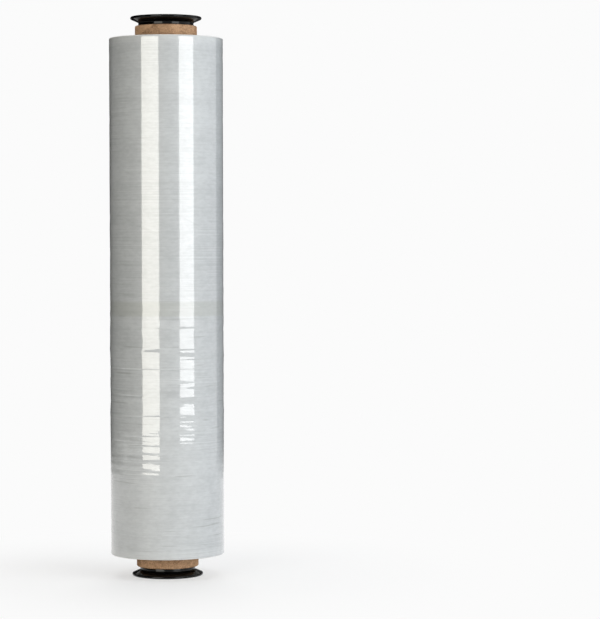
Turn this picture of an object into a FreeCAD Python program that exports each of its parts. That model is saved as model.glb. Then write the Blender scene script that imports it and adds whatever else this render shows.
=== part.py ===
import FreeCAD, Part
import math
import os
import Sketcher

# Stretch wrap roll for hand use, standing on its end.
#
# A pack of clear stretch film is wound tightly on a cardboard tube that is a
# little longer than the film is wide, so that a short stub shows at each end.
# In each end of the tube sits a moulded hand grip: a thin sleeve that runs in
# the tube's bore, a short neck whose shoulder stops on the tube's end, and a
# wide flange with a trumpet mouth. The hands hold the two grips still while
# the roll turns about them and pays out film.
#
# Frame: millimetres, +Z up along the roll's axis, and the origin at the centre
# of the lower grip's flange, on the surface that the roll stands on.

SIZES = [
    # alias, size, what it is
    ("film_length", 500, "width of the film, so the length of the wound pack"),
    ("film_dia", 110, "outer diameter of the wound pack"),
    ("film_edge", 1.2, "rounding of the pack's outer edges"),
    ("core_bore", 50.8, "bore of the cardboard tube, two inches"),
    ("core_wall", 4.6, "wall of the cardboard tube"),
    ("core_stub", 12, "how far the tube stands out of the film at each end"),
    ("core_edge", 0.9, "rounding of the tube's outer edges"),
    ("band_depth", 0.14, "depth of a gauge band round the pack"),
    ("wide_band", 13, "width of a wide gauge band"),
    ("wide_band_start", 31, "first wide band's distance from the pack's lower end"),
    ("wide_band_end", 78, "last wide band's distance from the pack's upper end"),
    ("wide_band_count", 4, "number of wide bands"),
    ("slim_band", 5, "width of a slim gauge band"),
    ("slim_band_start", 17, "first slim band's distance from the pack's lower end"),
    ("slim_band_end", 18, "last slim band's distance from the pack's upper end"),
    ("slim_band_count", 4, "number of slim bands"),
    ("turn_ring", 1.1, "width of a ring between turns on the pack's end"),
    ("turn_ring_depth", 0.22, "depth of such a ring"),
    ("turn_ring_margin", 2.6, "distance of the rings from the tube and from the edge"),
    ("tail_step", 0.3, "thickness of the loose end of the film where it is cut"),
    ("tail_start", 98, "angle at which the loose end lifts from the pack, in degrees"),
    ("tail_cut", 138, "angle of the cut edge of the film, in degrees"),
    ("tail_root", 0.6, "how deep the loose end reaches into the pack"),
    ("sleeve_length", 45, "length of the grip's sleeve inside the tube"),
    ("sleeve_clearance", 0.1, "running clearance round the sleeve, on the radius"),
    ("sleeve_wall", 1.8, "wall of the grip's sleeve"),
    ("lead_in", 2.4, "length of the taper at the sleeve's inner end"),
    ("lead_in_depth", 0.8, "depth of that taper"),
    ("shoulder", 1.3, "how far the neck reaches over the tube's end, on the radius"),
    ("neck_wall", 2.8, "wall of the grip's neck"),
    ("neck_length", 3.2, "length of the neck between the tube and the flange"),
    ("neck_fillet", 1.5, "fillet between the neck and the flange"),
    ("mouth_depth", 12, "depth of the wider mouth below the flange's face"),
    ("lip_radius", 4, "radius of the trumpet lip from the face into the mouth"),
    ("flange_dia", 69, "outer diameter of the grip's flange"),
    ("flange_slope", 3.4, "rise of the flange's sloped back from neck to rim"),
    ("rim_thick", 2.4, "thickness of the flange at its rim"),
    ("rim_round", 1.0, "rounding of the rim"),
]
# rings on each end of the pack
TURN_RING_COUNT = 5
# height of the loose end where it lifts (below the pack) and halfway, as shares of its step
TAIL_HIDDEN_SHARE = 0.1
TAIL_MIDDLE_SHARE = 0.26


class Size:
    """A length or angle that carries its present value and the sheet formula behind it."""

    def __init__(self, value, formula):
        self.value = value
        self.formula = formula

    def __add__(self, other):
        return Size(self.value + other.value, f"{self.formula} + {other.formula}")

    def __sub__(self, other):
        return Size(self.value - other.value, f"{self.formula} - ({other.formula})")

    def __mul__(self, factor):
        return Size(self.value * factor, f"({self.formula}) * {factor}")

    def __truediv__(self, divisor):
        return Size(self.value / divisor, f"({self.formula}) / {divisor}")

    def cosine_of(self, angle):
        value = self.value * math.cos(math.radians(angle.value))
        return Size(value, f"({self.formula}) * cos(({angle.formula}) * 1deg)")

    def sine_of(self, angle):
        value = self.value * math.sin(math.radians(angle.value))
        return Size(value, f"({self.formula}) * sin(({angle.formula}) * 1deg)")


ZERO = Size(0.0, "0")
# how far a cutting profile reaches past the surface it cuts
CUTTER_REACH = Size(2.0, "2")


def make_sheet(doc):
    """Writes the driving sizes in a spreadsheet and returns them by alias."""
    sheet = doc.addObject("Spreadsheet::Sheet", "sizes")
    found = {}
    for row, (alias, size, meaning) in enumerate(SIZES, start=1):
        sheet.set(f"A{row}", meaning)
        sheet.set(f"B{row}", str(size))
        sheet.setAlias(f"B{row}", alias)
    doc.recompute()
    for alias, _, _ in SIZES:
        found[alias] = Size(float(sheet.get(alias)), f"sizes.{alias}")
    return found


def origin_plane(body, role):
    return next(f for f in body.Origin.OriginFeatures if f.Role == role)


def new_sketch(body, name, role):
    sketch = body.newObject("Sketcher::SketchObject", name)
    sketch.AttachmentSupport = [(origin_plane(body, role), "")]
    sketch.MapMode = "FlatFace"
    return sketch


def pin_coordinate(sketch, kind, axis, geometry, end, size):
    """Ties one coordinate of a sketch point to its formula, or to the axis where it is zero."""
    if size.value == 0:
        sketch.addConstraint(Sketcher.Constraint("PointOnObject", geometry, end, axis))
        return
    made = sketch.addConstraint(Sketcher.Constraint(kind, -1, 1, geometry, end, size.value))
    sketch.setExpression(f"Constraints[{made}]", size.formula)


def pin_point(sketch, geometry, end, across, up):
    """Places a sketch point by the formulas for its two coordinates."""
    pin_coordinate(sketch, "DistanceX", -2, geometry, end, across)
    pin_coordinate(sketch, "DistanceY", -1, geometry, end, up)


def rounded_corner(before, here, after, radius):
    """Returns the arc that rounds a corner, where it starts and ends, and whether it turns left."""
    back = (before - here).normalize()
    on = (after - here).normalize()
    half = back.getAngle(on) / 2
    reach = radius / math.tan(half)
    centre = here + (back + on).normalize() * (radius / math.sin(half))
    start, end = here + back * reach, here + on * reach
    left = back.cross(on).z < 0
    first, last = (start, end) if left else (end, start)
    circle = Part.Circle(centre, FreeCAD.Vector(0, 0, 1), radius)
    arc = Part.ArcOfCircle(circle, circle.parameter(first), circle.parameter(last))
    return arc, start, end, left


def draw_outline(sketch, corners):
    """Draws a closed outline of straight lines through corners of (across, up) or (across, up, radius)."""
    points = [FreeCAD.Vector(c[0].value, c[1].value, 0) for c in corners]
    count = len(corners)
    rounds = {}
    for i, corner in enumerate(corners):
        if len(corner) == 3:
            following = points[(i + 1) % count]
            rounds[i] = rounded_corner(points[i - 1], points[i], following, corner[2].value)
    lines = []
    for i in range(count):
        j = (i + 1) % count
        start = rounds[i][2] if i in rounds else points[i]
        end = rounds[j][1] if j in rounds else points[j]
        lines.append(sketch.addGeometry(Part.LineSegment(start, end), False))
    for i, corner in enumerate(corners):
        coming, going = lines[i - 1], lines[i]
        if i not in rounds:
            sketch.addConstraint(Sketcher.Constraint("Coincident", coming, 2, going, 1))
            pin_point(sketch, going, 1, corner[0], corner[1])
            continue
        arc, _, _, left = rounds[i]
        bend = sketch.addGeometry(arc, False)
        near, far = (1, 2) if left else (2, 1)
        sketch.addConstraint(Sketcher.Constraint("Tangent", coming, 2, bend, near))
        sketch.addConstraint(Sketcher.Constraint("Tangent", bend, far, going, 1))
        made = sketch.addConstraint(Sketcher.Constraint("Radius", bend, corner[2].value))
        sketch.setExpression(f"Constraints[{made}]", corner[2].formula)
        apex = sketch.addGeometry(Part.Point(points[i]), True)
        sketch.addConstraint(Sketcher.Constraint("PointOnObject", apex, 1, coming))
        sketch.addConstraint(Sketcher.Constraint("PointOnObject", apex, 1, going))
        pin_point(sketch, apex, 1, corner[0], corner[1])


def turn_about_axis(body, kind, name, sketch):
    """Turns a half section through a full circle about the upright axis, to add or to cut."""
    feature = body.newObject(kind, name)
    feature.Profile = sketch
    feature.ReferenceAxis = (sketch, ["V_Axis"])
    feature.Angle = 360
    sketch.Visibility = False
    return feature


def repeat_upwards(body, name, feature, run, count):
    """Repeats a feature up the axis, over a run and a number that the sheet gives."""
    pattern = body.newObject("PartDesign::LinearPattern", name)
    pattern.Originals = [feature]
    pattern.Direction = (origin_plane(body, "Z_Axis"), [""])
    pattern.setExpression("Length", run.formula)
    pattern.setExpression("Occurrences", count.formula)
    body.Tip = pattern
    return pattern


def raise_body(body, height):
    """Places a body with its own zero at a height above the base."""
    body.setExpression("Placement.Base.z", height.formula)


def grip_height(s):
    """How far a grip stands out of the tube, from the tube's end to the flange's face."""
    return s["neck_length"] + s["flange_slope"] + s["rim_thick"]


def core_length(s):
    return s["film_length"] + s["core_stub"] * 2


def core_radius(s):
    return s["core_bore"] / 2 + s["core_wall"]


def make_core(doc, s):
    """Spiral-wound cardboard tube with softened ends."""
    body = doc.addObject("PartDesign::Body", "core")
    bore, outside, top = s["core_bore"] / 2, core_radius(s), core_length(s)
    sketch = new_sketch(body, "core_section", "XZ_Plane")
    draw_outline(sketch, [
        (bore, ZERO),
        (outside, ZERO, s["core_edge"]),
        (outside, top, s["core_edge"]),
        (bore, top),
    ])
    turn_about_axis(body, "PartDesign::Revolution", "core_tube", sketch)
    raise_body(body, grip_height(s))
    return body


def cut_bands(body, s, name):
    """Cuts evenly spaced shallow gauge bands of one width round the pack."""
    outside = s["film_dia"] / 2
    clear = outside + CUTTER_REACH
    width, middle = s[name], s[f"{name}_start"]
    low, high = middle - width / 2, middle + width / 2
    run = s["film_length"] - middle - s[f"{name}_end"]
    sketch = new_sketch(body, f"{name}_section", "XZ_Plane")
    draw_outline(sketch, [
        (clear, low),
        (clear, high),
        (outside, high),
        (outside - s["band_depth"], middle),
        (outside, low),
    ])
    groove = turn_about_axis(body, "PartDesign::Groove", f"{name}_cut", sketch)
    repeat_upwards(body, f"{name}_row", groove, run, s[f"{name}_count"])


def cut_turn_rings(body, s):
    """Cuts the shallow rings that show between turns on both ends of the pack."""
    inner = core_radius(s) + s["turn_ring_margin"]
    outer = s["film_dia"] / 2 - s["turn_ring_margin"]
    length = s["film_length"]
    half, deep = s["turn_ring"] / 2, s["turn_ring_depth"]
    sketch = new_sketch(body, "turn_ring_section", "XZ_Plane")
    for i in range(TURN_RING_COUNT):
        middle = inner + (outer - inner) * (i / (TURN_RING_COUNT - 1))
        near, far = middle - half, middle + half
        draw_outline(sketch, [
            (near, ZERO),
            (near, ZERO - CUTTER_REACH),
            (far, ZERO - CUTTER_REACH),
            (far, ZERO),
            (middle, deep),
        ])
        draw_outline(sketch, [
            (far, length),
            (far, length + CUTTER_REACH),
            (near, length + CUTTER_REACH),
            (near, length),
            (middle, length - deep),
        ])
    turn_about_axis(body, "PartDesign::Groove", "turn_rings", sketch)


def add_loose_end(body, s):
    """Lays the loose end of the film on the pack: a skin that grows from nothing to its cut edge."""
    outside, step = s["film_dia"] / 2, s["tail_step"]
    root = outside - s["tail_root"]
    start, cut = s["tail_start"], s["tail_cut"]
    middle = (start + cut) / 2
    hidden = outside - step * TAIL_HIDDEN_SHARE
    shown = outside + step
    through = outside + step * TAIL_MIDDLE_SHARE
    corners = [
        (root.cosine_of(start), root.sine_of(start)),
        (hidden.cosine_of(start), hidden.sine_of(start)),
        (shown.cosine_of(cut), shown.sine_of(cut)),
        (root.cosine_of(cut), root.sine_of(cut)),
    ]
    via = (through.cosine_of(middle), through.sine_of(middle))
    inside_via = (root.cosine_of(middle), root.sine_of(middle))
    points = [FreeCAD.Vector(a.value, u.value, 0) for a, u in corners]
    sketch = new_sketch(body, "loose_end_section", "XY_Plane")
    sketch.setExpression("AttachmentOffset.Base.z", s["film_edge"].formula)
    lift = sketch.addGeometry(Part.LineSegment(points[0], points[1]), False)
    edge = sketch.addGeometry(Part.LineSegment(points[2], points[3]), False)
    for line, low in ((lift, 0), (edge, 2)):
        pin_point(sketch, line, 1, *corners[low])
        pin_point(sketch, line, 2, *corners[low + 1])
    # an arc runs against the clock from its first end, so it starts where the angle is smaller
    for (across, up), first, last in (
        (via, (lift, 2), (edge, 1)),
        (inside_via, (lift, 1), (edge, 2)),
    ):
        ends = [sketch.getPoint(*first), sketch.getPoint(*last)]
        on_the_way = FreeCAD.Vector(across.value, up.value, 0)
        bend = sketch.addGeometry(Part.Arc(ends[0], on_the_way, ends[1]), False)
        sketch.addConstraint(Sketcher.Constraint("Coincident", *first, bend, 1))
        sketch.addConstraint(Sketcher.Constraint("Coincident", *last, bend, 2))
        mark = sketch.addGeometry(Part.Point(on_the_way), True)
        sketch.addConstraint(Sketcher.Constraint("PointOnObject", mark, 1, bend))
        pin_point(sketch, mark, 1, across, up)
    skin = body.newObject("PartDesign::Pad", "loose_end")
    skin.Profile = sketch
    skin.setExpression("Length", (s["film_length"] - s["film_edge"] * 2).formula)
    sketch.Visibility = False


def make_film(doc, s):
    """The wound pack: one solid with gauge bands, rings between turns and the film's loose end."""
    body = doc.addObject("PartDesign::Body", "film_roll")
    inside, outside, length = core_radius(s), s["film_dia"] / 2, s["film_length"]
    sketch = new_sketch(body, "film_section", "XZ_Plane")
    draw_outline(sketch, [
        (inside, ZERO),
        (outside, ZERO, s["film_edge"]),
        (outside, length, s["film_edge"]),
        (inside, length),
    ])
    turn_about_axis(body, "PartDesign::Revolution", "wound_pack", sketch)
    cut_turn_rings(body, s)
    cut_bands(body, s, "wide_band")
    cut_bands(body, s, "slim_band")
    add_loose_end(body, s)
    raise_body(body, grip_height(s) + s["core_stub"])
    return body


def make_grip(doc, s, name):
    """Moulded hand grip. Its own zero is the inner end of the sleeve, and its flange is at the top."""
    body = doc.addObject("PartDesign::Body", name)
    sleeve = s["core_bore"] / 2 - s["sleeve_clearance"]
    bore = sleeve - s["sleeve_wall"]
    neck = s["core_bore"] / 2 + s["shoulder"]
    mouth = neck - s["neck_wall"]
    rim = s["flange_dia"] / 2
    seat = s["sleeve_length"]
    back = seat + s["neck_length"]
    face = seat + grip_height(s)
    mouth_floor = face - s["mouth_depth"]
    sketch = new_sketch(body, f"{name}_section", "XZ_Plane")
    draw_outline(sketch, [
        (bore, ZERO),
        (sleeve - s["lead_in_depth"], ZERO),
        (sleeve, s["lead_in"]),
        (sleeve, seat),
        (neck, seat),
        (neck, back, s["neck_fillet"]),
        (rim, back + s["flange_slope"], s["rim_round"]),
        (rim, face, s["rim_round"]),
        (mouth, face, s["lip_radius"]),
        (mouth, mouth_floor),
        (bore, mouth_floor - (mouth - bore)),
    ])
    turn_about_axis(body, "PartDesign::Revolution", f"{name}_moulding", sketch)
    return body


def seat_grips(doc, s):
    """Makes both grips: one upright in the tube's top end, and one upside down in its lower end."""
    upper = make_grip(doc, s, "top_grip")
    raise_body(upper, grip_height(s) + core_length(s) - s["sleeve_length"])
    lower = make_grip(doc, s, "bottom_grip")
    lower.Placement.Rotation = FreeCAD.Rotation(FreeCAD.Vector(1, 0, 0), 180)
    raise_body(lower, grip_height(s) + s["sleeve_length"])
    return [upper, lower]


def check(doc, bodies):
    """Stops if any object failed or any sub-part is not a sound solid."""
    for item in doc.Objects:
        if "Invalid" in item.State or "Error" in item.State:
            raise RuntimeError(f"{item.Name} failed: {item.State}")
    for body in bodies:
        shape = body.Shape
        if shape.isNull() or not shape.isValid() or len(shape.Solids) != 1:
            raise RuntimeError(f"{body.Label} is not one sound solid")
        box = shape.optimalBoundingBox(False)
        print(
            f"{body.Label}: {shape.Volume:.0f} mm3, {len(shape.Faces)} faces,"
            f" z {box.ZMin:.2f} to {box.ZMax:.2f}, across {box.XLength:.2f}"
        )


def main():
    doc = FreeCAD.newDocument("stretch_wrap_roll")
    s = make_sheet(doc)
    bodies = [make_core(doc, s), make_film(doc, s), *seat_grips(doc, s)]
    doc.recompute()
    check(doc, bodies)
    os.makedirs("parts", exist_ok=True)
    for body in bodies:
        body.Shape.exportStep(f"parts/{body.Label}.step")


main()
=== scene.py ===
"""A roll of stretch film on a cardboard tube, with a moulded hand grip in each end.

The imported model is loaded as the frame. Each operator makes one group of pieces round it, in metres,
with the roll's axis on Z and the floor at zero.
"""

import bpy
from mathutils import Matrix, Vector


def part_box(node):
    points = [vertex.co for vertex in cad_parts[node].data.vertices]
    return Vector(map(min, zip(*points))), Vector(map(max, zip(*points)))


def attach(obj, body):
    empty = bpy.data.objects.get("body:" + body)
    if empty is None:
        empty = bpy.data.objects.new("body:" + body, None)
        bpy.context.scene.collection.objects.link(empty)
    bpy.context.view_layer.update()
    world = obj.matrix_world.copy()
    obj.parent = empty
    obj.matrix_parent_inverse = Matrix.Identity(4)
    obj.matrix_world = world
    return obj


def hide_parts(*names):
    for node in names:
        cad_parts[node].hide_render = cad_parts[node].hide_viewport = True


bl_info = {
    "name": "Stretch wrap roll",
    "version": (1, 0, 0),
    "blender": (4, 5, 0),
    "location": "3D View > Sidebar > Wrap Roll",
    "description": "Winds a roll of stretch film on its tube, seats the grips and sets a plain stage",
    "category": "Add Mesh",
}

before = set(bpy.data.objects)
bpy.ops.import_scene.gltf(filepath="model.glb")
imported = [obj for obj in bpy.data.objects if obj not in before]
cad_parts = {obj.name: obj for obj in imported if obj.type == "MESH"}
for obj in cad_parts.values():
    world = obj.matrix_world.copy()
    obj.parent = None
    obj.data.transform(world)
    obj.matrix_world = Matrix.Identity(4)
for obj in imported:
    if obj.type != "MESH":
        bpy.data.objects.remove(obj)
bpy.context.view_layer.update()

import math
import random

import bmesh
import bpy
from bpy.props import FloatProperty, FloatVectorProperty, IntProperty, PointerProperty
from mathutils import Vector

FILM_LOW, FILM_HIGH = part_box("film_roll")
TUBE_LOW, TUBE_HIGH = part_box("core")
GRIP_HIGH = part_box("top_grip")[1]
FILM_LENGTH = FILM_HIGH.z - FILM_LOW.z
FILM_MIDDLE = (FILM_HIGH.z + FILM_LOW.z) / 2
UP = (0, 0, 1)
HOME = (0, 0, 0)
FULL_TURN = 2 * math.pi

# Modelling: the gap under which points are one, the plane that an outline starts from, and the
# segments of a rounded outer edge
TINY = 1e-6
SPECK = 0.001
EDGE_SEGMENTS = 4

# The pack: parts that its wall is cut into before rows are, and the share of its length over which an
# edge is a whole side
WALL_PARTS = 32
SIDE_SHARE = 0.9

# Gauge bands in two even rows, each with the first band's height over the pack's foot and the step to
# the next, and how far a band reaches up and down
BAND_ROWS = ((0.031, 0.1303), (0.017, 0.155))
BANDS_IN_ROW = 4
BAND_REACH = 0.007

# Rings between turns: where their random draws start, and how uneven their depth is
TURN_SEED = 4
TURN_DEPTHS = (0.3, 1.2)

# Where the patterns of folds and creases start, so that they lie at the right heights, the height at
# which they end, and the height over which they come and go
FOLD_START = (-4.0632, -3.246, -0.315)
CREASE_START = (-3.5252, 2.0538, -0.033796)
FOLDS_END = 0.12
FOLDS_FADE = 0.05

# The loose end's cut edge: where its random draws start, how many places are moved, by how much, and
# how far each move reaches
TAIL_SEED = 7
TAIL_PLACES = 9
TAIL_MOVES = (-0.002, 0.001)
TAIL_REACH = 0.05

# Heights on the film's wall: the dull band's foot and top and how ragged they are, the darker waist
# and its reach, and the zone of slanted lines and its reach
DULL_FOOT = (0.254, 0.257)
DULL_TOP = (0.271, 0.268)
DULL_RAGGED = 0.004
WAIST = 0.28
WAIST_REACH = (0.18, 0.02)
SLANTED = 0.3
SLANTED_REACH = (0.06, 0.02)

# Slanted lines: how far they climb across the roll, and their cells to a metre across and along it
SLANTED_CLIMB = 0.5
SLANTED_AROUND = 12.0
SLANTED_ALONG = 620.0

# How strongly the dull band and the lines show, and where thin lines come in, from this far over the
# top of the creased part to this far under it
DULL_SHARE = 0.45
LINE_SHARE = 0.5
LINES_FROM, LINES_TO = 0.06, 0.1

# How far from the pack's ends the wall turns milky, and where the end itself starts
MILKY_FROM, MILKY_TO = 0.012, 0.001
END_FROM, END_TO = 0.0011, 0.0004

# The tube: rings that its plies leave on each end, their depth, and cuts up the cover ply
PLY_RINGS = 4
PLY_RING_DEPTH = 0.00015
PLY_CUTS = 11

# The grip: rounding of the edge that rests on the tube
SEAT_ROUND = 0.0003

# Upright lamps: name, degrees to the right of the camera, distance, foot and top, width, strength,
# colour, and whether gloss shows them
WHITE = (1.0, 1.0, 1.0)
STRIPS = (
    ("left_strip", -32.5, 1.2, (0.005, 0.67), 0.768, 12.6, (1.0, 0.975, 0.88), True),
    ("right_strip", 40.4, 1.2, (0.075, 0.67), 0.642, 12.5, WHITE, True),
    ("back_strip", 180, 1.3, (0.02, 0.80), 0.26, 12.0, WHITE, True),
    ("right_fill", 64, 2.2, (0.1, 1.5), 1.2, 14.0, (0.87, 0.95, 1.0), False),
    ("back_fill", 175, 2.2, (0.1, 1.5), 1.6, 18.0, WHITE, False),
)

# Upright flags: name, degrees to the right of the camera, distance, width and grey
FLAGS = (
    ("left_flag", -137, 0.9, 1.6, 0.02),
    ("side_flag", -75, 1.3, 1.24, 0.02),
    ("right_flag", 149, 0.9, 1.05, 0.1),
    ("front_flag", 3, 3.0, 2.2, 0.38),
)
FLAG_HEIGHT = 1.5
FLAG_LIFT = 0.01
FLAG_FOOT_HEIGHT = 0.05
FLAG_FOOT_GREY = 0.7

# The floor: its side, its cuts, and how far from the roll it melts into the backdrop
FLOOR_SIDE = 40
FLOOR_CUTS = 4
FLOOR_MELTS = (0.03, 0.35)

# Width of the camera's sensor in millimetres
SENSOR_WIDTH = 36

# Places of the colour sockets on a Mix node
MIX_FIRST, MIX_SECOND, MIX_RESULT = 6, 7, 2


def length(name, words, default):
    return FloatProperty(name=name, description=words, default=default, min=0, precision=5, unit="LENGTH")


def angle(name, words, degrees):
    return FloatProperty(name=name, description=words, default=math.radians(degrees), unit="ROTATION")


def tint(name, words, default):
    return FloatVectorProperty(name=name, description=words, default=default, min=0, max=1, subtype="COLOR")


def count(name, words, default, least=1):
    return IntProperty(name=name, description=words, default=default, min=least)


class FilmSettings(bpy.types.PropertyGroup):
    """The wound film and its loose end."""

    radius: length("Radius", "Outer radius of the wound pack", FILM_HIGH.x)
    edge_round: length("Edge rounding", "Rounding of the pack's outer edges", 0.0012)
    rows: count("Rows", "Rows of faces up the wall, in steps of 32", 640, 2 * WALL_PARTS)
    around: count("Around", "Faces round the pack", 128)
    turns_shown: count("Turns shown", "Rings between turns on each end", 12)
    turn_depth: length("Turn depth", "Depth of a ring between turns", 0.00022)
    band_depth: length("Band depth", "Depth of a gauge band", 0.00014)
    ridge: length("Ridges", "Height of the tension ridges round the pack", 0.00012)
    swell: length("Swell", "Height of the slow swell along the pack", 0.0003)
    stray: length("Stray creases", "Depth of the few creases all along the pack", 0.00004)
    crease: length("Creases", "Depth of the sharp creases on the lower part", 0.0003)
    fold: length("Folds", "Height of the soft folds on the lower part", 0.0010)
    creased_below: length("Creased below", "Height under which creases are frequent", 0.30)
    tail_step: length("Tail step", "Thickness of the loose end at its cut edge", 0.0003)
    tail_start: angle("Tail start", "Where the loose end lifts from the pack", 98)
    tail_cut: angle("Tail cut", "Where the loose end is cut", 138)
    wall_dark: tint("Wall, dark", "Film wall between streaks", (0.464, 0.478, 0.487))
    wall_light: tint("Wall, light", "Film wall in pale streaks", (0.571, 0.588, 0.597))
    dull_tint: tint("Dull band", "Film in the dull band at mid height", (0.43, 0.435, 0.40))
    waist_tint: tint("Waist", "Shade over the middle of the wall", (0.93, 0.93, 0.93))
    slant_tint: tint("Slanted lines", "Lines that climb round the wall", (0.38, 0.39, 0.39))
    line_tint: tint("Thin lines", "Thin dark lines round the wall", (0.3, 0.305, 0.3))
    end_tint: tint("End", "Cut turns on the pack's ends", (0.86, 0.86, 0.84))
    end_dark: tint("End, dark", "Darker turns on the pack's ends", (0.62, 0.62, 0.60))


class TubeSettings(bpy.types.PropertyGroup):
    """The spiral-wound cardboard tube."""

    wall: length("Wall", "Wall of the tube", 0.0046)
    edge_round: length("Edge rounding", "Rounding of the tube's outer edges", 0.0009)
    lead: length("Ply lead", "How far a ply climbs in one turn", 0.1)
    ply_gap: length("Ply gap", "Gap between two turns of the cover ply", 0.0007)
    ply_thick: length("Ply thickness", "Thickness of the cover ply", 0.00022)
    ply_turned: angle("Ply turned", "Turn of the cover ply round the tube", 166)
    around: count("Around", "Faces round the tube", 128)
    board: tint("Board", "Kraft board", (0.62, 0.385, 0.232))
    board_dark: tint("Board, dark", "Dark fibres and blotches of the board", (0.26, 0.145, 0.078))
    board_rubbed: tint("Board, rubbed", "Rubbed spots of the board", (0.58, 0.40, 0.26))


class GripSettings(bpy.types.PropertyGroup):
    """The moulded hand grips."""

    core_bore: length("Tube bore", "Radius of the tube's bore", 0.0254)
    clearance: length("Clearance", "Running clearance round the sleeve", 0.0001)
    sleeve_wall: length("Sleeve wall", "Wall of the sleeve", 0.0018)
    sleeve_length: length("Sleeve length", "Length of the sleeve in the tube", 0.045)
    lead_in: length("Lead-in", "Length of the taper at the sleeve's inner end", 0.0024)
    lead_in_depth: length("Lead-in depth", "Depth of that taper", 0.0008)
    shoulder: length("Shoulder", "How far the neck reaches over the tube's end", 0.0013)
    neck_wall: length("Neck wall", "Wall of the neck", 0.0028)
    neck_length: length("Neck length", "Neck between the tube and the flange", 0.0032)
    neck_fillet: length("Neck fillet", "Fillet between the neck and the flange", 0.0015)
    mouth_depth: length("Mouth depth", "Depth of the wider mouth", 0.012)
    lip: length("Lip", "Radius of the trumpet lip", 0.004)
    flange: length("Flange", "Radius of the flange", GRIP_HIGH.x)
    slope: length("Slope", "Rise of the flange's back", 0.0034)
    rim: length("Rim", "Thickness of the rim", 0.0024)
    rim_round: length("Rim rounding", "Rounding of the rim", 0.0014)
    around: count("Around", "Faces round the grip", 144)
    plastic: tint("Plastic", "Black plastic", (0.0018, 0.0018, 0.002))
    scuff: tint("Scuff", "Rubbed plastic", (0.008, 0.008, 0.0085))


class StageSettings(bpy.types.PropertyGroup):
    """Floor, lights and camera."""

    lens: FloatProperty(name="Lens", description="Focal length", default=144.2, unit="CAMERA")
    distance: length("Camera distance", "From the camera to the roll's axis", 2.412)
    height: length("Camera height", "Height of the camera over the floor", 0.335)
    pan: angle("Pan", "Turn of the camera to the right of the roll", 3.078)
    tilt: angle("Tilt", "Tilt of the camera below level", 1.823)
    roll: angle("Roll", "Turn of the camera about its own line of sight", 0.1)
    floor: tint("Floor", "Colour of the floor as it lights the object", (0.6, 0.6, 0.6))
    floor_seen: tint("Floor, seen", "Colour of the floor as it is seen", (0.97, 0.97, 0.97))
    backdrop: tint("Backdrop", "Colour behind the object", (0.965, 0.965, 0.965))
    fill: tint("Fill", "Soft light from all round", (0.1, 0.1, 0.1))


# Modelling


def clear_selection():
    if bpy.context.mode != "OBJECT":
        bpy.ops.object.mode_set(mode="OBJECT")
    bpy.ops.object.select_all(action="DESELECT")


def select_only(piece):
    clear_selection()
    piece.select_set(True)
    bpy.context.view_layer.objects.active = piece


def settle(piece):
    """Puts a piece's place, turn and scale into its mesh."""
    select_only(piece)
    bpy.ops.object.transform_apply(location=True, rotation=True, scale=True)


def edit(piece, mode="VERT"):
    select_only(piece)
    bpy.ops.object.mode_set(mode="EDIT")
    bpy.ops.mesh.select_mode(type=mode)


def pick(piece, wanted, kind="verts"):
    """Selects the vertices, edges or faces of a piece in edit mode that the test wants."""
    bpy.ops.mesh.select_all(action="DESELECT")
    mesh = bmesh.from_edit_mesh(piece.data)
    for part in getattr(mesh, kind):
        if wanted(part):
            part.select_set(True)
    mesh.select_flush(True)
    bmesh.update_edit_mesh(piece.data)


def draw_outline(name, points, closed=True):
    """Draws half a section from (radius, height) points, in edit mode, as one line of edges."""
    clear_selection()
    first = Vector((points[0][0], 0, points[0][1]))
    bpy.ops.mesh.primitive_plane_add(size=SPECK, location=first)
    piece = bpy.context.object
    piece.name = piece.data.name = name
    settle(piece)
    edit(piece)
    bpy.ops.mesh.select_all(action="SELECT")
    bpy.ops.mesh.merge(type="CENTER")
    here = first
    others = [*points[1:], *points[:1]] if closed else points[1:]
    for radius, height in others:
        there = Vector((radius, 0, height))
        bpy.ops.mesh.extrude_region_move(TRANSFORM_OT_translate={"value": there - here})
        here = there
    bpy.ops.mesh.select_all(action="SELECT")
    bpy.ops.mesh.remove_doubles(threshold=TINY)
    return piece


def round_corner(piece, corner, radius, segments):
    """Rounds one corner of an outline to an arc."""
    at = Vector((corner[0], 0, corner[1]))
    mesh = bmesh.from_edit_mesh(piece.data)
    here = min(mesh.verts, key=lambda vertex: (vertex.co - at).length)
    arms = [(edge.other_vert(here).co - here.co).normalized() for edge in here.link_edges]
    reach = radius / math.tan(arms[0].angle(arms[1]) / 2)
    pick(piece, lambda vertex: (vertex.co - at).length < TINY)
    bpy.ops.mesh.bevel(
        offset_type="OFFSET",
        offset=reach,
        segments=segments,
        profile=0.5,
        affect="VERTICES",
    )


def draw_hollow(name, inside, outside, low, high, edge_round):
    """Draws half a section of a hollow cylinder whose outer edges are rounded."""
    corners = [(inside, low), (outside, low), (outside, high), (inside, high)]
    piece = draw_outline(name, corners)
    for corner in corners[1:3]:
        round_corner(piece, corner, edge_round, EDGE_SEGMENTS)
    return piece


def divide(piece, wanted, cuts):
    """Cuts the wanted edges into equal lengths, one round of cuts after another."""
    bpy.ops.mesh.select_mode(type="EDGE")
    pick(piece, wanted, "edges")
    for number in cuts:
        bpy.ops.mesh.subdivide(number_cuts=number)
    bpy.ops.mesh.select_mode(type="VERT")


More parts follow.
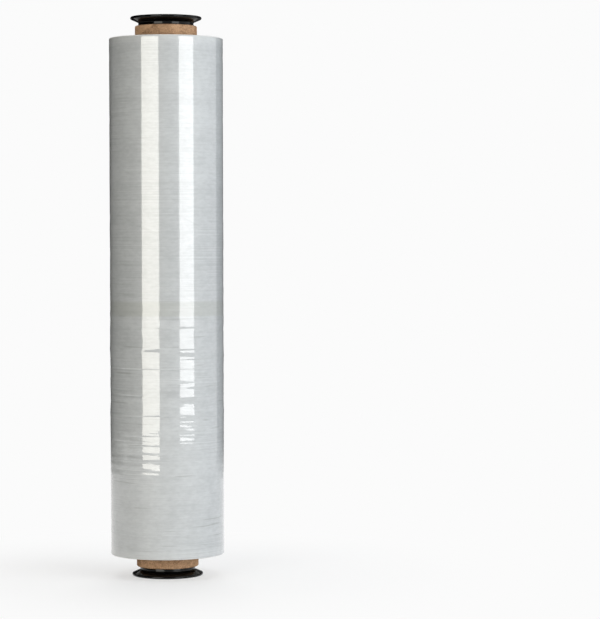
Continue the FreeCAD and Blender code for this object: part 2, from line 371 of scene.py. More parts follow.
def nudge(piece, at, by, reach=0.0):
    """Moves the vertex nearest a place, and with a reach also its neighbours, less the further off."""
    mesh = bmesh.from_edit_mesh(piece.data)
    mesh.verts.ensure_lookup_table()
    nearest = min(range(len(mesh.verts)), key=lambda number: (mesh.verts[number].co - at).length)
    pick(piece, lambda vertex: vertex.index == nearest)
    if reach:
        bpy.ops.transform.translate(
            value=by,
            use_proportional_edit=True,
            proportional_edit_falloff="SMOOTH",
            proportional_size=reach,
        )
    else:
        bpy.ops.transform.translate(value=by)


def sink_rings(piece, across, ends, rings, depth, uneven=(1.0, 1.0)):
    """Sinks every other point of both ends into the piece, so that its layers show as rings."""
    chance = random.Random(TURN_SEED)
    inside, outside = across
    low, high = ends
    gaps = 2 * rings
    for height, way in ((low, 1), (high, -1)):
        for number in range(1, gaps, 2):
            at = Vector((inside + (outside - inside) * number / gaps, 0, height))
            nudge(piece, at, (0, 0, way * depth * chance.uniform(*uneven)))


def spin_outline(piece, steps):
    """Turns an outline through a full circle and closes it to a shell that faces outwards."""
    bpy.ops.mesh.select_all(action="SELECT")
    bpy.ops.mesh.spin(steps=steps, angle=FULL_TURN, center=HOME, axis=UP)
    bpy.ops.mesh.select_all(action="SELECT")
    bpy.ops.mesh.remove_doubles(threshold=TINY)
    bpy.ops.mesh.normals_make_consistent(inside=False)
    bpy.ops.object.mode_set(mode="OBJECT")


def apply_modifier(piece, kind, name, **settings):
    select_only(piece)
    modifier = piece.modifiers.new(name, kind)
    for setting, value in settings.items():
        setattr(modifier, setting, value)
    bpy.ops.object.modifier_apply(modifier=name)


def weigh(piece, name, weight):
    """Adds a vertex group whose weights follow from each vertex's place."""
    group = piece.vertex_groups.new(name=name)
    for vertex in piece.data.vertices:
        group.add([vertex.index], weight(vertex.co), "REPLACE")
    return name


def emboss(piece, name, cell, height, detail=2, peaks=None, group="", start=HOME):
    """Pushes a surface in and out by a cloud pattern with cells of a given size and starting point.

    With peaks, only what rises from the first of these two levels of the pattern to the second counts.
    """
    pattern = bpy.data.textures.new(name, "CLOUDS")
    pattern.noise_scale = 1.0
    pattern.noise_depth = detail
    if peaks:
        pattern.use_color_ramp = True
        ramp = pattern.color_ramp
        for stop, place, level in zip(ramp.elements, peaks, (0, 1)):
            stop.position = place
            stop.color = (level, level, level, 1)
    guide = bpy.data.objects.new(f"{name}_guide", None)
    guide.location = start
    guide.scale = cell
    bpy.context.collection.objects.link(guide)
    bpy.context.view_layer.update()
    apply_modifier(
        piece,
        "DISPLACE",
        name,
        texture=pattern,
        texture_coords="OBJECT",
        texture_coords_object=guide,
        strength=height,
        mid_level=0.0 if peaks else 0.5,
        vertex_group=group,
    )
    bpy.data.objects.remove(guide)


def shade(piece, limit=40):
    """Shades a piece smoothly, apart from edges that are sharper than the limit in degrees."""
    select_only(piece)
    bpy.ops.object.shade_smooth_by_angle(angle=math.radians(limit))


def hand_over(piece, material, body, slot, *nodes):
    """Gives a finished piece its material, its body and the nodes that it stands for."""
    piece.data.materials.clear()
    piece.data.materials.append(material)
    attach(piece, body)
    if nodes:
        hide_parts(*nodes)


# Materials


class Wiring:
    """Adds and joins the nodes of one material, group or world."""

    def __init__(self, tree):
        self.tree = tree
        tree.nodes.clear()

    def add(self, kind, **settings):
        node = self.tree.nodes.new(kind)
        for name, value in settings.items():
            setattr(node, name, value)
        return node

    def feed(self, socket, value):
        if isinstance(value, bpy.types.NodeSocket):
            self.tree.links.new(value, socket)
        else:
            socket.default_value = value

    def feed_all(self, sockets, values):
        for socket, value in zip(sockets, values):
            self.feed(socket, value)

    def math(self, operation, first, second=0.0, clamp=False):
        node = self.add("ShaderNodeMath", operation=operation, use_clamp=clamp)
        self.feed_all(node.inputs, (first, second))
        return node.outputs[0]

    def sum_of(self, *shares):
        """Adds up values, each times its own share."""
        total, *others = [self.math("MULTIPLY", value, share) for value, share in shares]
        for part in others:
            total = self.math("ADD", total, part)
        return total

    def away(self, value, middle):
        """How far a value is from a middle one."""
        return self.math("ABSOLUTE", self.math("SUBTRACT", value, middle))

    def off_axis(self, x, y):
        """How far a place is from the roll's axis."""
        squares = [self.math("MULTIPLY", side, side) for side in (x, y)]
        return self.math("SQRT", self.math("ADD", *squares))

    def spread(self, value, given, wanted=(0.0, 1.0)):
        """Maps a value smoothly from the given range to the wanted one, held at both ends."""
        node = self.add("ShaderNodeMapRange", interpolation_type="SMOOTHSTEP")
        self.feed_all(node.inputs, (value, *given, *wanted))
        return node.outputs[0]

    def blend(self, amount, first, second, mode="MIX"):
        node = self.add("ShaderNodeMix", data_type="RGBA", blend_type=mode)
        self.feed(node.inputs[0], amount)
        self.feed(node.inputs[MIX_FIRST], first)
        self.feed(node.inputs[MIX_SECOND], second)
        return node.outputs[MIX_RESULT]

    def mix_shaders(self, amount, first, second):
        node = self.add("ShaderNodeMixShader")
        self.feed_all(node.inputs, (amount, first.outputs[0], second.outputs[0]))
        return node.outputs[0]

    def place(self):
        """Object coordinates."""
        return self.add("ShaderNodeTexCoord").outputs["Object"]

    def split(self, vector):
        node = self.add("ShaderNodeSeparateXYZ")
        self.feed(node.inputs[0], vector)
        return node.outputs

    def join(self, x, y, z):
        node = self.add("ShaderNodeCombineXYZ")
        self.feed_all(node.inputs, (x, y, z))
        return node.outputs[0]

    def stretch(self, x, y, z, around, along):
        """A place with more or fewer cells of a pattern across the roll than along it."""
        sides = ((x, around), (y, around), (z, along))
        return self.join(*[self.math("MULTIPLY", side, cells) for side, cells in sides])

    def noise(self, vector, scale, detail, roughness):
        node = self.add("ShaderNodeTexNoise")
        self.feed(node.inputs["Vector"], vector)
        self.feed(node.inputs["Scale"], scale)
        self.feed(node.inputs["Detail"], detail)
        self.feed(node.inputs["Roughness"], roughness)
        return node.outputs[0]

    def bump(self, height, distance, strength):
        node = self.add("ShaderNodeBump")
        self.feed(node.inputs["Height"], height)
        self.feed(node.inputs["Distance"], distance)
        self.feed(node.inputs["Strength"], strength)
        return node.outputs["Normal"]

    def use(self, group, output, **inputs):
        """Places a group with its own values and returns one of its outputs."""
        node = self.add("ShaderNodeGroup", node_tree=group)
        for name, value in inputs.items():
            self.feed(node.inputs[name], value)
        return node.outputs[output]


def new_group(name, inputs, output):
    """A shader group with one vector input, float inputs and one float output."""
    group = bpy.data.node_groups.new(name, "ShaderNodeTree")
    group.interface.new_socket(name="Vector", in_out="INPUT", socket_type="NodeSocketVector")
    for socket in inputs:
        group.interface.new_socket(name=socket, in_out="INPUT", socket_type="NodeSocketFloat")
    group.interface.new_socket(name=output, in_out="OUTPUT", socket_type="NodeSocketFloat")
    wiring = Wiring(group)
    return group, wiring, wiring.add("NodeGroupInput").outputs, wiring.add("NodeGroupOutput").inputs


def shared_group(name, build):
    return bpy.data.node_groups.get(name) or build(name)


def build_turn_streaks(name):
    """Streaks that run round the roll on its wall, and as rings on its ends."""
    group, wiring, given, result = new_group(name, ["Around", "Along", "Detail"], "Streak")
    x, y, z = wiring.split(given["Vector"])
    outward = wiring.math("ADD", z, wiring.off_axis(x, y))
    stretched = wiring.stretch(x, y, outward, given["Around"], given["Along"])
    streak = wiring.noise(stretched, scale=1.0, detail=given["Detail"], roughness=0.6)
    wiring.feed(result["Streak"], streak)
    return group


def turn_streaks(wiring, place, around, along, detail):
    """Streaks with so many cells to a metre across the roll and along it."""
    group = shared_group("turn_streaks", build_turn_streaks)
    return wiring.use(group, "Streak", Vector=place, Around=around, Along=along, Detail=detail)


def build_rub_wear(name):
    """Scattered marks of rubbing and dust, from none to full."""
    group, wiring, given, result = new_group(name, ["Scale", "Amount"], "Wear")
    broad_scale = wiring.math("MULTIPLY", given["Scale"], 0.25)
    broad = wiring.noise(given["Vector"], scale=broad_scale, detail=2.0, roughness=0.5)
    fine = wiring.noise(given["Vector"], scale=given["Scale"], detail=8.0, roughness=0.7)
    both = wiring.math("MULTIPLY", wiring.spread(broad, (0.4, 0.65)), wiring.spread(fine, (0.52, 0.7)))
    wiring.feed(result["Wear"], wiring.math("MULTIPLY", both, given["Amount"], clamp=True))
    return group


def rub_wear(wiring, place, scale, amount):
    """Marks of rubbing with so many cells to a metre."""
    group = shared_group("rub_wear", build_rub_wear)
    return wiring.use(group, "Wear", Vector=place, Scale=scale, Amount=amount)


def blank_material(name):
    material = bpy.data.materials.new(name)
    material.use_nodes = True
    return material, Wiring(material.node_tree)


def new_material(name):
    """A material with one shader, its inputs and the place on the piece that patterns read."""
    material, wiring = blank_material(name)
    shader = wiring.add("ShaderNodeBsdfPrincipled")
    out = wiring.add("ShaderNodeOutputMaterial")
    wiring.feed(out.inputs["Surface"], shader.outputs["BSDF"])
    return material, wiring, shader.inputs, wiring.place()


def film_material(sizes):
    """Clear film, milky through its depth, with fine lines round the roll and a sharp clear gloss."""
    material, wiring, shader, place = new_material("stretch_film")
    hair = turn_streaks(wiring, place, around=14.0, along=2200.0, detail=2.0)
    fine = turn_streaks(wiring, place, around=9.0, along=700.0, detail=3.0)
    tone = film_tone(wiring, place, hair, fine)
    wall = wall_colour(wiring, sizes, place, tone, fine)
    from_middle = wiring.away(wiring.split(place)[2], FILM_MIDDLE)
    half = FILM_LENGTH / 2
    milky = wiring.spread(from_middle, (half - MILKY_FROM, half - MILKY_TO), (0.0, 0.15))
    on_end = wiring.spread(from_middle, (half - END_FROM, half - END_TO))
    end = (*sizes.end_tint, 1)
    wall = wiring.blend(milky, wall, end)
    turned = wiring.blend(wiring.spread(tone, (0.3, 0.7), (0.0, 0.35)), end, (*sizes.end_dark, 1))
    wiring.feed(shader["Base Color"], wiring.blend(on_end, wall, turned))
    matt = wiring.spread(on_end, (0.0, 1.0), (0.25, 0.6))
    wiring.feed(shader["Roughness"], wiring.math("ADD", wiring.math("MULTIPLY", fine, 0.25), matt))
    wiring.feed(shader["Coat Weight"], wiring.spread(on_end, (0.0, 1.0), (1.0, 0.03)))
    shader["Coat Roughness"].default_value = 0.03
    shader["Coat IOR"].default_value = 1.75
    shader["IOR"].default_value = 1.4
    grain = wiring.sum_of((fine, 0.7), (hair, 0.3))
    wiring.feed(shader["Normal"], wiring.bump(grain, distance=0.00012, strength=0.6))
    return material


def film_tone(wiring, place, hair, fine):
    """How pale the film is: streaks of several widths, clouds, and patches with clearer lines."""
    short = turn_streaks(wiring, place, around=150.0, along=420.0, detail=4.0)
    broad = turn_streaks(wiring, place, around=3.0, along=60.0, detail=4.0)
    clouds = wiring.noise(place, scale=60.0, detail=5.0, roughness=0.65)
    tone = wiring.sum_of((hair, 0.12), (fine, 0.15), (short, 0.30), (broad, 0.18), (clouds, 0.25))
    rings = turn_streaks(wiring, place, around=6.0, along=1100.0, detail=1.0)
    patches = wiring.noise(place, scale=18.0, detail=2.0, roughness=0.5)
    lined = wiring.spread(patches, (0.48, 0.62), (0.0, 0.4))
    return wiring.math("ADD", tone, wiring.math("MULTIPLY", lined, wiring.math("SUBTRACT", rings, 0.5)))


def wall_colour(wiring, sizes, place, tone, fine):
    """The wall's colour: its streaks, the dull band, the waist, slanted lines and thin lines."""
    height = wiring.split(place)[2]
    streaked = wiring.spread(tone, (0.36, 0.64))
    wall = wiring.blend(streaked, (*sizes.wall_dark, 1), (*sizes.wall_light, 1))
    ragged = wiring.math("ADD", height, wiring.math("MULTIPLY", fine, DULL_RAGGED))
    dull = wiring.math("MULTIPLY", wiring.spread(ragged, DULL_FOOT), wiring.spread(ragged, DULL_TOP))
    wall = wiring.blend(wiring.math("MULTIPLY", dull, DULL_SHARE), wall, (*sizes.dull_tint, 1))
    waist = wiring.spread(wiring.away(height, WAIST), WAIST_REACH)
    wall = wiring.blend(waist, wall, (*sizes.waist_tint, 1), "MULTIPLY")
    wall = wiring.blend(slanted_lines(wiring, place), wall, (*sizes.slant_tint, 1))
    thin = turn_streaks(wiring, place, around=20.0, along=420.0, detail=1.0)
    top = sizes.creased_below
    lower = wiring.spread(height, (top + LINES_FROM, top - LINES_TO), (0.35, 1.0))
    lines = wiring.math("MULTIPLY", wiring.spread(thin, (0.66, 0.74)), lower)
    return wiring.blend(wiring.math("MULTIPLY", lines, LINE_SHARE), wall, (*sizes.line_tint, 1))


def slanted_lines(wiring, place):
    """Faint lines that climb as they run round the roll, where the film was guided on at a slant."""
    x, y, z = wiring.split(place)
    climbing = wiring.math("ADD", z, wiring.math("MULTIPLY", x, SLANTED_CLIMB))
    stretched = wiring.stretch(x, y, climbing, SLANTED_AROUND, SLANTED_ALONG)
    lines = wiring.spread(wiring.noise(stretched, scale=1.0, detail=2.0, roughness=0.5), (0.58, 0.72))
    patches = wiring.noise(place, scale=14.0, detail=2.0, roughness=0.5)
    patches = wiring.spread(patches, (0.48, 0.62), (0.3, 1.0))
    near = wiring.spread(wiring.away(z, SLANTED), SLANTED_REACH, (0.25, 1.0))
    patches = wiring.math("MULTIPLY", patches, near)
    return wiring.math("MULTIPLY", wiring.math("MULTIPLY", lines, patches), LINE_SHARE)


def board_material(sizes):
    """Kraft board: mottled fibres and blotches, paler and darker by the cover ply's seam, and rubbed."""
    material, wiring, shader, place = new_material("kraft_board")
    fibre = wiring.noise(place, scale=900.0, detail=6.0, roughness=0.65)
    blotch = wiring.noise(place, scale=130.0, detail=4.0, roughness=0.6)
    wound = turn_streaks(wiring, place, around=240.0, along=900.0, detail=4.0)
    tone = wiring.sum_of((fibre, 0.5), (blotch, 0.3), (wound, 0.2))
    across = across_ply(wiring, sizes, place)
    tone = wiring.math("ADD", tone, wiring.spread(across, (0.0, 0.25), (0.05, 0.0)))
    tone = wiring.math("SUBTRACT", tone, wiring.spread(across, (0.85, 1.0), (0.0, 0.03)))
    colour = wiring.blend(wiring.spread(tone, (0.36, 0.6)), (*sizes.board_dark, 1), (*sizes.board, 1))
    rubbed = rub_wear(wiring, place, scale=320.0, amount=0.3)
    wiring.feed(shader["Base Color"], wiring.blend(rubbed, colour, (*sizes.board_rubbed, 1)))
    wiring.feed(shader["Roughness"], wiring.spread(fibre, (0.3, 0.7), (0.78, 0.95)))
    shader["Specular IOR Level"].default_value = 0.02
    wiring.feed(shader["Normal"], wiring.bump(fibre, distance=0.0002, strength=0.7))
    return material


def across_ply(wiring, sizes, place):
    """How far across the cover ply a place is, from none at its lower edge to one at its upper edge."""
    x, y, height = wiring.split(place)
    turn = wiring.math("DIVIDE", wiring.math("ARCTAN2", y, x), FULL_TURN)
    climb = wiring.math("DIVIDE", wiring.math("SUBTRACT", height, ply_start(sizes)), sizes.lead)
    across = wiring.math("SUBTRACT", climb, turn)
    return wiring.math("FRACT", wiring.math("ADD", across, sizes.ply_turned / FULL_TURN))


def ply_start(sizes):
    """Height of the cover ply's lower edge where its turn starts, one lead under the tube."""
    return TUBE_LOW.z + sizes.edge_round - sizes.lead


def plastic_material(sizes):
    """Glossy black moulded plastic with faint mould lines, finger marks and rubbed spots."""
    material, wiring, shader, place = new_material("moulded_plastic")
    lines = turn_streaks(wiring, place, around=5.0, along=2600.0, detail=2.0)
    smear = wiring.noise(place, scale=90.0, detail=4.0, roughness=0.6)
    rubbed = rub_wear(wiring, place, scale=420.0, amount=0.35)
    wiring.feed(shader["Base Color"], wiring.blend(rubbed, (*sizes.plastic, 1), (*sizes.scuff, 1)))
    smeared = wiring.spread(smear, (0.35, 0.65), (0.06, 0.11))
    wiring.feed(shader["Roughness"], wiring.math("ADD", smeared, wiring.math("MULTIPLY", rubbed, 0.15)))
    shader["IOR"].default_value = 1.32
    wiring.feed(shader["Normal"], wiring.bump(lines, distance=0.000004, strength=0.4))
    return material


# Pieces


def wind_pack(sizes, tube_radius):
    """The wound pack: a closed shell with gauge bands, rings between turns, ridges and wrinkles."""
    low, high, outside = FILM_LOW.z, FILM_HIGH.z, sizes.radius
    piece = draw_hollow("wound_film", tube_radius, outside, low, high, sizes.edge_round)
    tall = FILM_LENGTH * SIDE_SHARE
    half = (outside - tube_radius) / 2

    def on_wall(edge):
        return edge.calc_length() > tall and edge.verts[0].co.x > tube_radius + TINY

    def on_end(edge):
        return half < edge.calc_length() < tall

    divide(piece, on_wall, (WALL_PARTS - 1, sizes.rows // WALL_PARTS - 1))
    divide(piece, on_end, (2 * sizes.turns_shown - 1,))
    across = (tube_radius, outside - sizes.edge_round)
    sink_rings(piece, across, (low, high), sizes.turns_shown, sizes.turn_depth, TURN_DEPTHS)
    for first, step in BAND_ROWS:
        for number in range(BANDS_IN_ROW):
            at = Vector((outside, 0, low + first + number * step))
            nudge(piece, at, (-sizes.band_depth, 0, 0), BAND_REACH)
    spin_outline(piece, sizes.around)
    emboss(piece, "slow_swell", cell=(0.16, 0.16, 0.035), height=sizes.swell)
    emboss(piece, "tension_ridges", cell=(0.06, 0.06, 0.005), height=sizes.ridge, detail=3)
    emboss(
        piece,
        "stray_creases",
        cell=(0.16, 0.16, 0.0022),
        height=-sizes.stray,
        detail=1,
        peaks=(0.7, 0.85),
    )
    low_part = weigh(piece, "low_part", lambda at: how_creased(at.z, sizes.creased_below))
    emboss(
        piece,
        "low_folds",
        cell=(0.12, 0.12, 0.012),
        height=sizes.fold,
        detail=1,
        group=low_part,
        start=FOLD_START,
    )
    emboss(
        piece,
        "low_creases",
        cell=(0.14, 0.14, 0.0028),
        height=-sizes.crease,
        detail=1,
        peaks=(0.66, 0.88),
        group=low_part,
        start=CREASE_START,
    )
    return piece


def how_creased(height, top):
    """Grows from nothing at the top of the creased part to full, and dies away near the pack's foot."""
    growing = min(max((top - height) / FOLDS_FADE, 0.0), 1.0)
    dying = min(max((height - FOLDS_END) / FOLDS_FADE, 0.0), 1.0)
    return growing * dying


def bearing(at):
    """Where a place lies round the roll, as an angle."""
    return math.atan2(at.y, at.x)


def lay_tail(pack, sizes):
    """The loose end: lifted off the pack's own wall, thickened outwards, thin where it leaves the pack."""
    edit(pack, "FACE")
    low = FILM_LOW.z + sizes.edge_round
    high = FILM_HIGH.z - sizes.edge_round

    def under_tail(face):
        at = face.calc_center_median()
        return low < at.z < high and sizes.tail_start < bearing(at) < sizes.tail_cut

    pick(pack, under_tail, "faces")
    bpy.ops.mesh.duplicate()
    bpy.ops.mesh.separate(type="SELECTED")
    bpy.ops.object.mode_set(mode="OBJECT")
    piece = next(made for made in bpy.context.selected_objects if made != pack)
    piece.name = piece.data.name = "loose_end"
    angles = [bearing(vertex.co) for vertex in piece.data.vertices]
    first, last = min(angles), max(angles)
    edit(piece)
    chance = random.Random(TAIL_SEED)
    outward = Vector((math.cos(last), math.sin(last), 0))
    onward = Vector((-outward.y, outward.x, 0))
    for number in range(TAIL_PLACES):
        height = low + (high - low) * (number + 0.5) / TAIL_PLACES
        at = outward * sizes.radius + Vector((0, 0, height))
        nudge(piece, at, onward * chance.uniform(*TAIL_MOVES), TAIL_REACH)
    bpy.ops.object.mode_set(mode="OBJECT")
    growth = weigh(piece, "growth", lambda at: (bearing(at) - first) / (last - first))
    apply_modifier(
        piece,
        "SOLIDIFY",
        "thickness",
        thickness=sizes.tail_step,
        offset=1,
        vertex_group=growth,
        thickness_vertex_group=0.1,
    )
    return piece


def roll_tube(sizes):
    """The tube's wall under its cover ply, with plies showing on its ends."""
    low, high = TUBE_LOW.z, TUBE_HIGH.z
    under = TUBE_HIGH.x - sizes.ply_thick
    bore = TUBE_HIGH.x - sizes.wall
    piece = draw_hollow("cardboard_tube", bore, under, low, high, sizes.edge_round)
    divide(piece, lambda edge: sizes.wall / 2 < edge.calc_length() < sizes.wall, (2 * PLY_RINGS - 1,))
    sink_rings(piece, (bore, under - sizes.edge_round), (low, high), PLY_RINGS, PLY_RING_DEPTH)
    spin_outline(piece, sizes.around)
    return piece


def wind_cover_ply(sizes):
    """The outer ply: a strip wound in a helix with a narrow gap, trimmed at the tube's ends."""
    low = TUBE_LOW.z + sizes.edge_round
    high = TUBE_HIGH.z - sizes.edge_round
    outside = TUBE_HIGH.x
    start = ply_start(sizes)
    strip = [(outside, start), (outside, start + sizes.lead - sizes.ply_gap)]
    piece = draw_outline("cover_ply", strip, closed=False)
    divide(piece, lambda edge: True, (PLY_CUTS,))
    bpy.ops.object.mode_set(mode="OBJECT")
    turns = math.ceil((high - start) / sizes.lead)
    apply_modifier(
        piece,
        "SCREW",
        "helix",
        angle=FULL_TURN,
        screw_offset=sizes.lead,
        iterations=turns,
        steps=sizes.around,
        render_steps=sizes.around,
        axis="Z",
    )
    piece.rotation_euler.z = sizes.ply_turned
    settle(piece)
    edit(piece)
    for height, below in ((low, True), (high, False)):
        bpy.ops.mesh.select_all(action="SELECT")
        bpy.ops.mesh.bisect(
            plane_co=(0, 0, height),
            plane_no=UP,
            clear_inner=below,
            clear_outer=not below,
        )
    bpy.ops.mesh.select_all(action="SELECT")
    bpy.ops.mesh.normals_make_consistent(inside=False)
    bpy.ops.object.mode_set(mode="OBJECT")
    apply_modifier(piece, "SOLIDIFY", "thickness", thickness=sizes.ply_thick, offset=-1)
    return piece


def mould_grip(sizes, name):
    """One grip, turned from its half section, with its flange's face at the top."""
    sleeve = sizes.core_bore - sizes.clearance
    bore = sleeve - sizes.sleeve_wall
    neck = sizes.core_bore + sizes.shoulder
    mouth = neck - sizes.neck_wall
    face = GRIP_HIGH.z
    back = face - sizes.rim - sizes.slope
    seat = back - sizes.neck_length
    inner = seat - sizes.sleeve_length
    floor = face - sizes.mouth_depth
    seat_edge = (neck, seat)
    flange_root = (neck, back)
    rim_back = (sizes.flange, back + sizes.slope)
    rim_front = (sizes.flange, face)
    lip = (mouth, face)
    outline = [
        (bore, inner),
        (sleeve - sizes.lead_in_depth, inner),
        (sleeve, inner + sizes.lead_in),
        (sleeve, seat),
        seat_edge,
        flange_root,
        rim_back,
        rim_front,
        lip,
        (mouth, floor),
        (bore, floor - (mouth - bore)),
    ]
    # Corner, radius and segments of each rounding
    rounds = (
        (seat_edge, SEAT_ROUND, 2),
        (flange_root, sizes.neck_fillet, 8),
        (rim_back, sizes.rim_round, 7),
        (rim_front, sizes.rim_round, 7),
        (lip, sizes.lip, 16),
    )
    piece = draw_outline(name, outline)
    for corner, radius, segments in rounds:
        round_corner(piece, corner, radius, segments)
    spin_outline(piece, sizes.around)
    return piece


def turn_over(piece, name):
    """A copy of a grip with its own mesh, turned end for end for the roll's lower end."""
    select_only(piece)
    bpy.ops.object.duplicate(linked=False)
    copy = bpy.context.object
    copy.name = copy.data.name = name
    edit(copy)
    bpy.ops.mesh.select_all(action="SELECT")
    middle = (0, 0, GRIP_HIGH.z / 2)
    bpy.ops.transform.rotate(value=math.pi, orient_axis="X", center_override=middle)
    bpy.ops.object.mode_set(mode="OBJECT")
    return copy


# Stage


def round_the_roll(azimuth, distance, height):
    """A place beside the roll. Azimuth is counted from the camera towards the right."""
    return Vector((math.sin(azimuth) * distance, -math.cos(azimuth) * distance, height))


def add_lamp(name, place, width, height, strength, colour, seen):
    """A soft lamp of so much strength to each square metre, which gloss may show."""
    bpy.ops.object.light_add(type="AREA", location=place)
    lamp = bpy.context.object
    lamp.name = lamp.data.name = name
    lamp.data.shape = "RECTANGLE"
    lamp.data.size = width
    lamp.data.size_y = height
    lamp.data.energy = strength * width * height
    lamp.data.color = colour
    lamp.visible_camera = False
    lamp.visible_glossy = seen
    return lamp


def add_strip(name, degrees, distance, reach, width, strength, colour, seen):
    """An upright lamp beside the roll that faces it, from the lower to the upper height of its reach."""
    low, high = reach
    place = round_the_roll(math.radians(degrees), distance, (low + high) / 2)
    lamp = add_lamp(name, place, width, high - low, strength, colour, seen)
    lamp.rotation_euler = (Vector((0, 0, place.z)) - place).to_track_quat("-Z", "Y").to_euler()


def hang_flag(name, place, turn, size, grey):
    """A plain panel beside or over the roll that only gloss can see, paler where it nears the floor."""
    bpy.ops.mesh.primitive_plane_add(size=1, location=place, rotation=turn)
    panel = bpy.context.object
    panel.name = panel.data.name = name
    panel.scale = (*size, 1)
    settle(panel)
    material, wiring = blank_material(name)
    glow = wiring.add("ShaderNodeEmission")
    height = wiring.split(wiring.place())[2]
    strength = wiring.spread(height, (0.0, FLAG_FOOT_HEIGHT), (FLAG_FOOT_GREY, grey))
    wiring.feed(glow.inputs["Strength"], strength)
    wiring.feed(wiring.add("ShaderNodeOutputMaterial").inputs["Surface"], glow.outputs[0])
    panel.data.materials.append(material)
    for ray in ("camera", "diffuse", "transmission", "shadow", "volume_scatter"):
        setattr(panel, f"visible_{ray}", False)


def stand_flag(name, degrees, distance, width, grey):
    """A flag that stands just over the floor and faces the roll."""
    azimuth = math.radians(degrees)
    place = round_the_roll(azimuth, distance, FLAG_HEIGHT / 2 + FLAG_LIFT)
    hang_flag(name, place, (math.pi / 2, 0, azimuth), (width, FLAG_HEIGHT), grey)


def seen_directly(wiring):
    """One where a ray comes from the camera, a gloss or a clear body, and zero for soft light."""
    path = wiring.add("ShaderNodeLightPath").outputs
    gloss = wiring.math("ADD", path["Is Glossy Ray"], path["Is Transmission Ray"])
    return wiring.math("ADD", path["Is Camera Ray"], gloss, clamp=True)


def set_world(sizes):
    """The backdrop where it is seen, and a weaker even light for all else."""
    world = bpy.data.worlds.new("soft_room")
    bpy.context.scene.world = world
    world.use_nodes = True
    wiring = Wiring(world.node_tree)
    out = wiring.add("ShaderNodeOutputWorld")
    fill = wiring.add("ShaderNodeBackground")
    fill.inputs["Color"].default_value = (*sizes.fill, 1)
    shown = wiring.add("ShaderNodeBackground")
    shown.inputs["Color"].default_value = (*sizes.backdrop, 1)
    wiring.feed(out.inputs["Surface"], wiring.mix_shaders(seen_directly(wiring), fill, shown))


def lay_floor(sizes):
    """A wide pale floor that keeps the object's shadow and melts into the backdrop further off."""
    bpy.ops.mesh.primitive_grid_add(
        x_subdivisions=FLOOR_CUTS,
        y_subdivisions=FLOOR_CUTS,
        size=FLOOR_SIDE,
        location=HOME,
    )
    floor = bpy.context.object
    floor.name = floor.data.name = "floor"
    material, wiring = blank_material("pale_floor")
    out = wiring.add("ShaderNodeOutputMaterial")
    matt = wiring.add("ShaderNodeBsdfDiffuse")
    seen = seen_directly(wiring)
    wiring.feed(matt.inputs["Color"], wiring.blend(seen, (*sizes.floor, 1), (*sizes.floor_seen, 1)))
    glow = wiring.add("ShaderNodeEmission")
    glow.inputs["Color"].default_value = (*sizes.backdrop, 1)
    x, y, _ = wiring.split(wiring.place())
    melting = wiring.spread(wiring.off_axis(x, y), FLOOR_MELTS, (0.5, 1.0))
    amount = wiring.math("MULTIPLY", seen, melting)
    wiring.feed(out.inputs["Surface"], wiring.mix_shaders(amount, matt, glow))
    floor.data.materials.append(material)


def set_camera(sizes):
    bpy.ops.object.camera_add(location=(0, -sizes.distance, sizes.height))
    camera = bpy.context.object
    camera.rotation_euler = (math.pi / 2 - sizes.tilt, sizes.roll, -sizes.pan)
    camera.data.lens = sizes.lens
    camera.data.sensor_width = SENSOR_WIDTH
    bpy.context.scene.camera = camera


class WRAP_OT_wind_film(bpy.types.Operator):
    """Winds the film and lays its loose end"""

    bl_idname = "wrap_roll.wind_film"
    bl_label = "Wind the film"

    def execute(self, context):
        sizes = context.scene.wrap_film
        material = film_material(sizes)
        pack = wind_pack(sizes, TUBE_HIGH.x)
        tail = lay_tail(pack, sizes)
        shade(pack, limit=60)
        shade(tail)
        hand_over(pack, material, "roll", "clear_film", "film_roll")
        hand_over(tail, material, "roll", "clear_film")
        return {"FINISHED"}


class WRAP_OT_roll_tube(bpy.types.Operator):
    """Rolls the cardboard tube and its cover ply"""

    bl_idname = "wrap_roll.roll_tube"
    bl_label = "Roll the tube"

    def execute(self, context):
        sizes = context.scene.wrap_tube
        material = board_material(sizes)
        tube = roll_tube(sizes)
        shade(tube)
        hand_over(tube, material, "roll", "cardboard", "core")
        ply = wind_cover_ply(sizes)
        shade(ply)
        hand_over(ply, material, "roll", "cardboard")
        return {"FINISHED"}


class WRAP_OT_mould_grips(bpy.types.Operator):
    """Moulds both hand grips"""

    bl_idname = "wrap_roll.mould_grips"
    bl_label = "Mould the grips"

    def execute(self, context):
        sizes = context.scene.wrap_grip
        material = plastic_material(sizes)
        upper = mould_grip(sizes, "top_hand_grip")
        shade(upper)
        lower = turn_over(upper, "bottom_hand_grip")
        hand_over(upper, material, "top_grip", "black_plastic", "top_grip")
        hand_over(lower, material, "bottom_grip", "black_plastic", "bottom_grip")
        return {"FINISHED"}


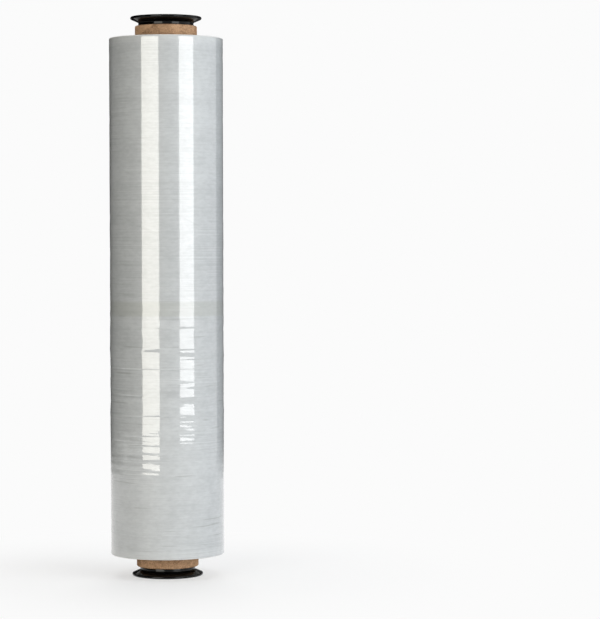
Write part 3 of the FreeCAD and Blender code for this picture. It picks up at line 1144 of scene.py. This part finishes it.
class WRAP_OT_set_stage(bpy.types.Operator):
    """Sets the floor, the lights and the camera"""

    bl_idname = "wrap_roll.set_stage"
    bl_label = "Set the stage"

    def execute(self, context):
        sizes = context.scene.wrap_stage
        context.scene.view_settings.view_transform = "Standard"
        clear_selection()
        set_world(sizes)
        lay_floor(sizes)
        add_lamp("overhead", (0, 0, 2.4), width=1.6, height=1.6, strength=7.0, colour=WHITE, seen=False)
        for strip in STRIPS:
            add_strip(*strip)
        for flag in FLAGS:
            stand_flag(*flag)
        hang_flag("ceiling_flag", place=(0, -1.3, 1.55), turn=HOME, size=(3.2, 3.4), grey=0.02)
        set_camera(sizes)
        return {"FINISHED"}


STEPS = (WRAP_OT_wind_film, WRAP_OT_roll_tube, WRAP_OT_mould_grips, WRAP_OT_set_stage)
SETTINGS = {
    "wrap_film": FilmSettings,
    "wrap_tube": TubeSettings,
    "wrap_grip": GripSettings,
    "wrap_stage": StageSettings,
}


class WRAP_PT_roll(bpy.types.Panel):
    """Sizes and steps of the stretch wrap roll"""

    bl_idname = "WRAP_PT_roll"
    bl_label = "Stretch wrap roll"
    bl_space_type = "VIEW_3D"
    bl_region_type = "UI"
    bl_category = "Wrap Roll"

    def draw(self, context):
        for step, name in zip(STEPS, SETTINGS):
            box = self.layout.box()
            box.operator(step.bl_idname)
            group = getattr(context.scene, name)
            for setting in group.__annotations__:
                box.prop(group, setting)


def register():
    for made in (*SETTINGS.values(), *STEPS, WRAP_PT_roll):
        bpy.utils.register_class(made)
    for name, settings in SETTINGS.items():
        setattr(bpy.types.Scene, name, PointerProperty(type=settings))


def unregister():
    for name in SETTINGS:
        delattr(bpy.types.Scene, name)
    for made in (WRAP_PT_roll, *reversed(STEPS), *SETTINGS.values()):
        bpy.utils.unregister_class(made)


def main():
    register()
    bpy.ops.wrap_roll.wind_film()
    bpy.ops.wrap_roll.roll_tube()
    bpy.ops.wrap_roll.mould_grips()
    bpy.ops.wrap_roll.set_stage()


if __name__ == "__main__":
    main()
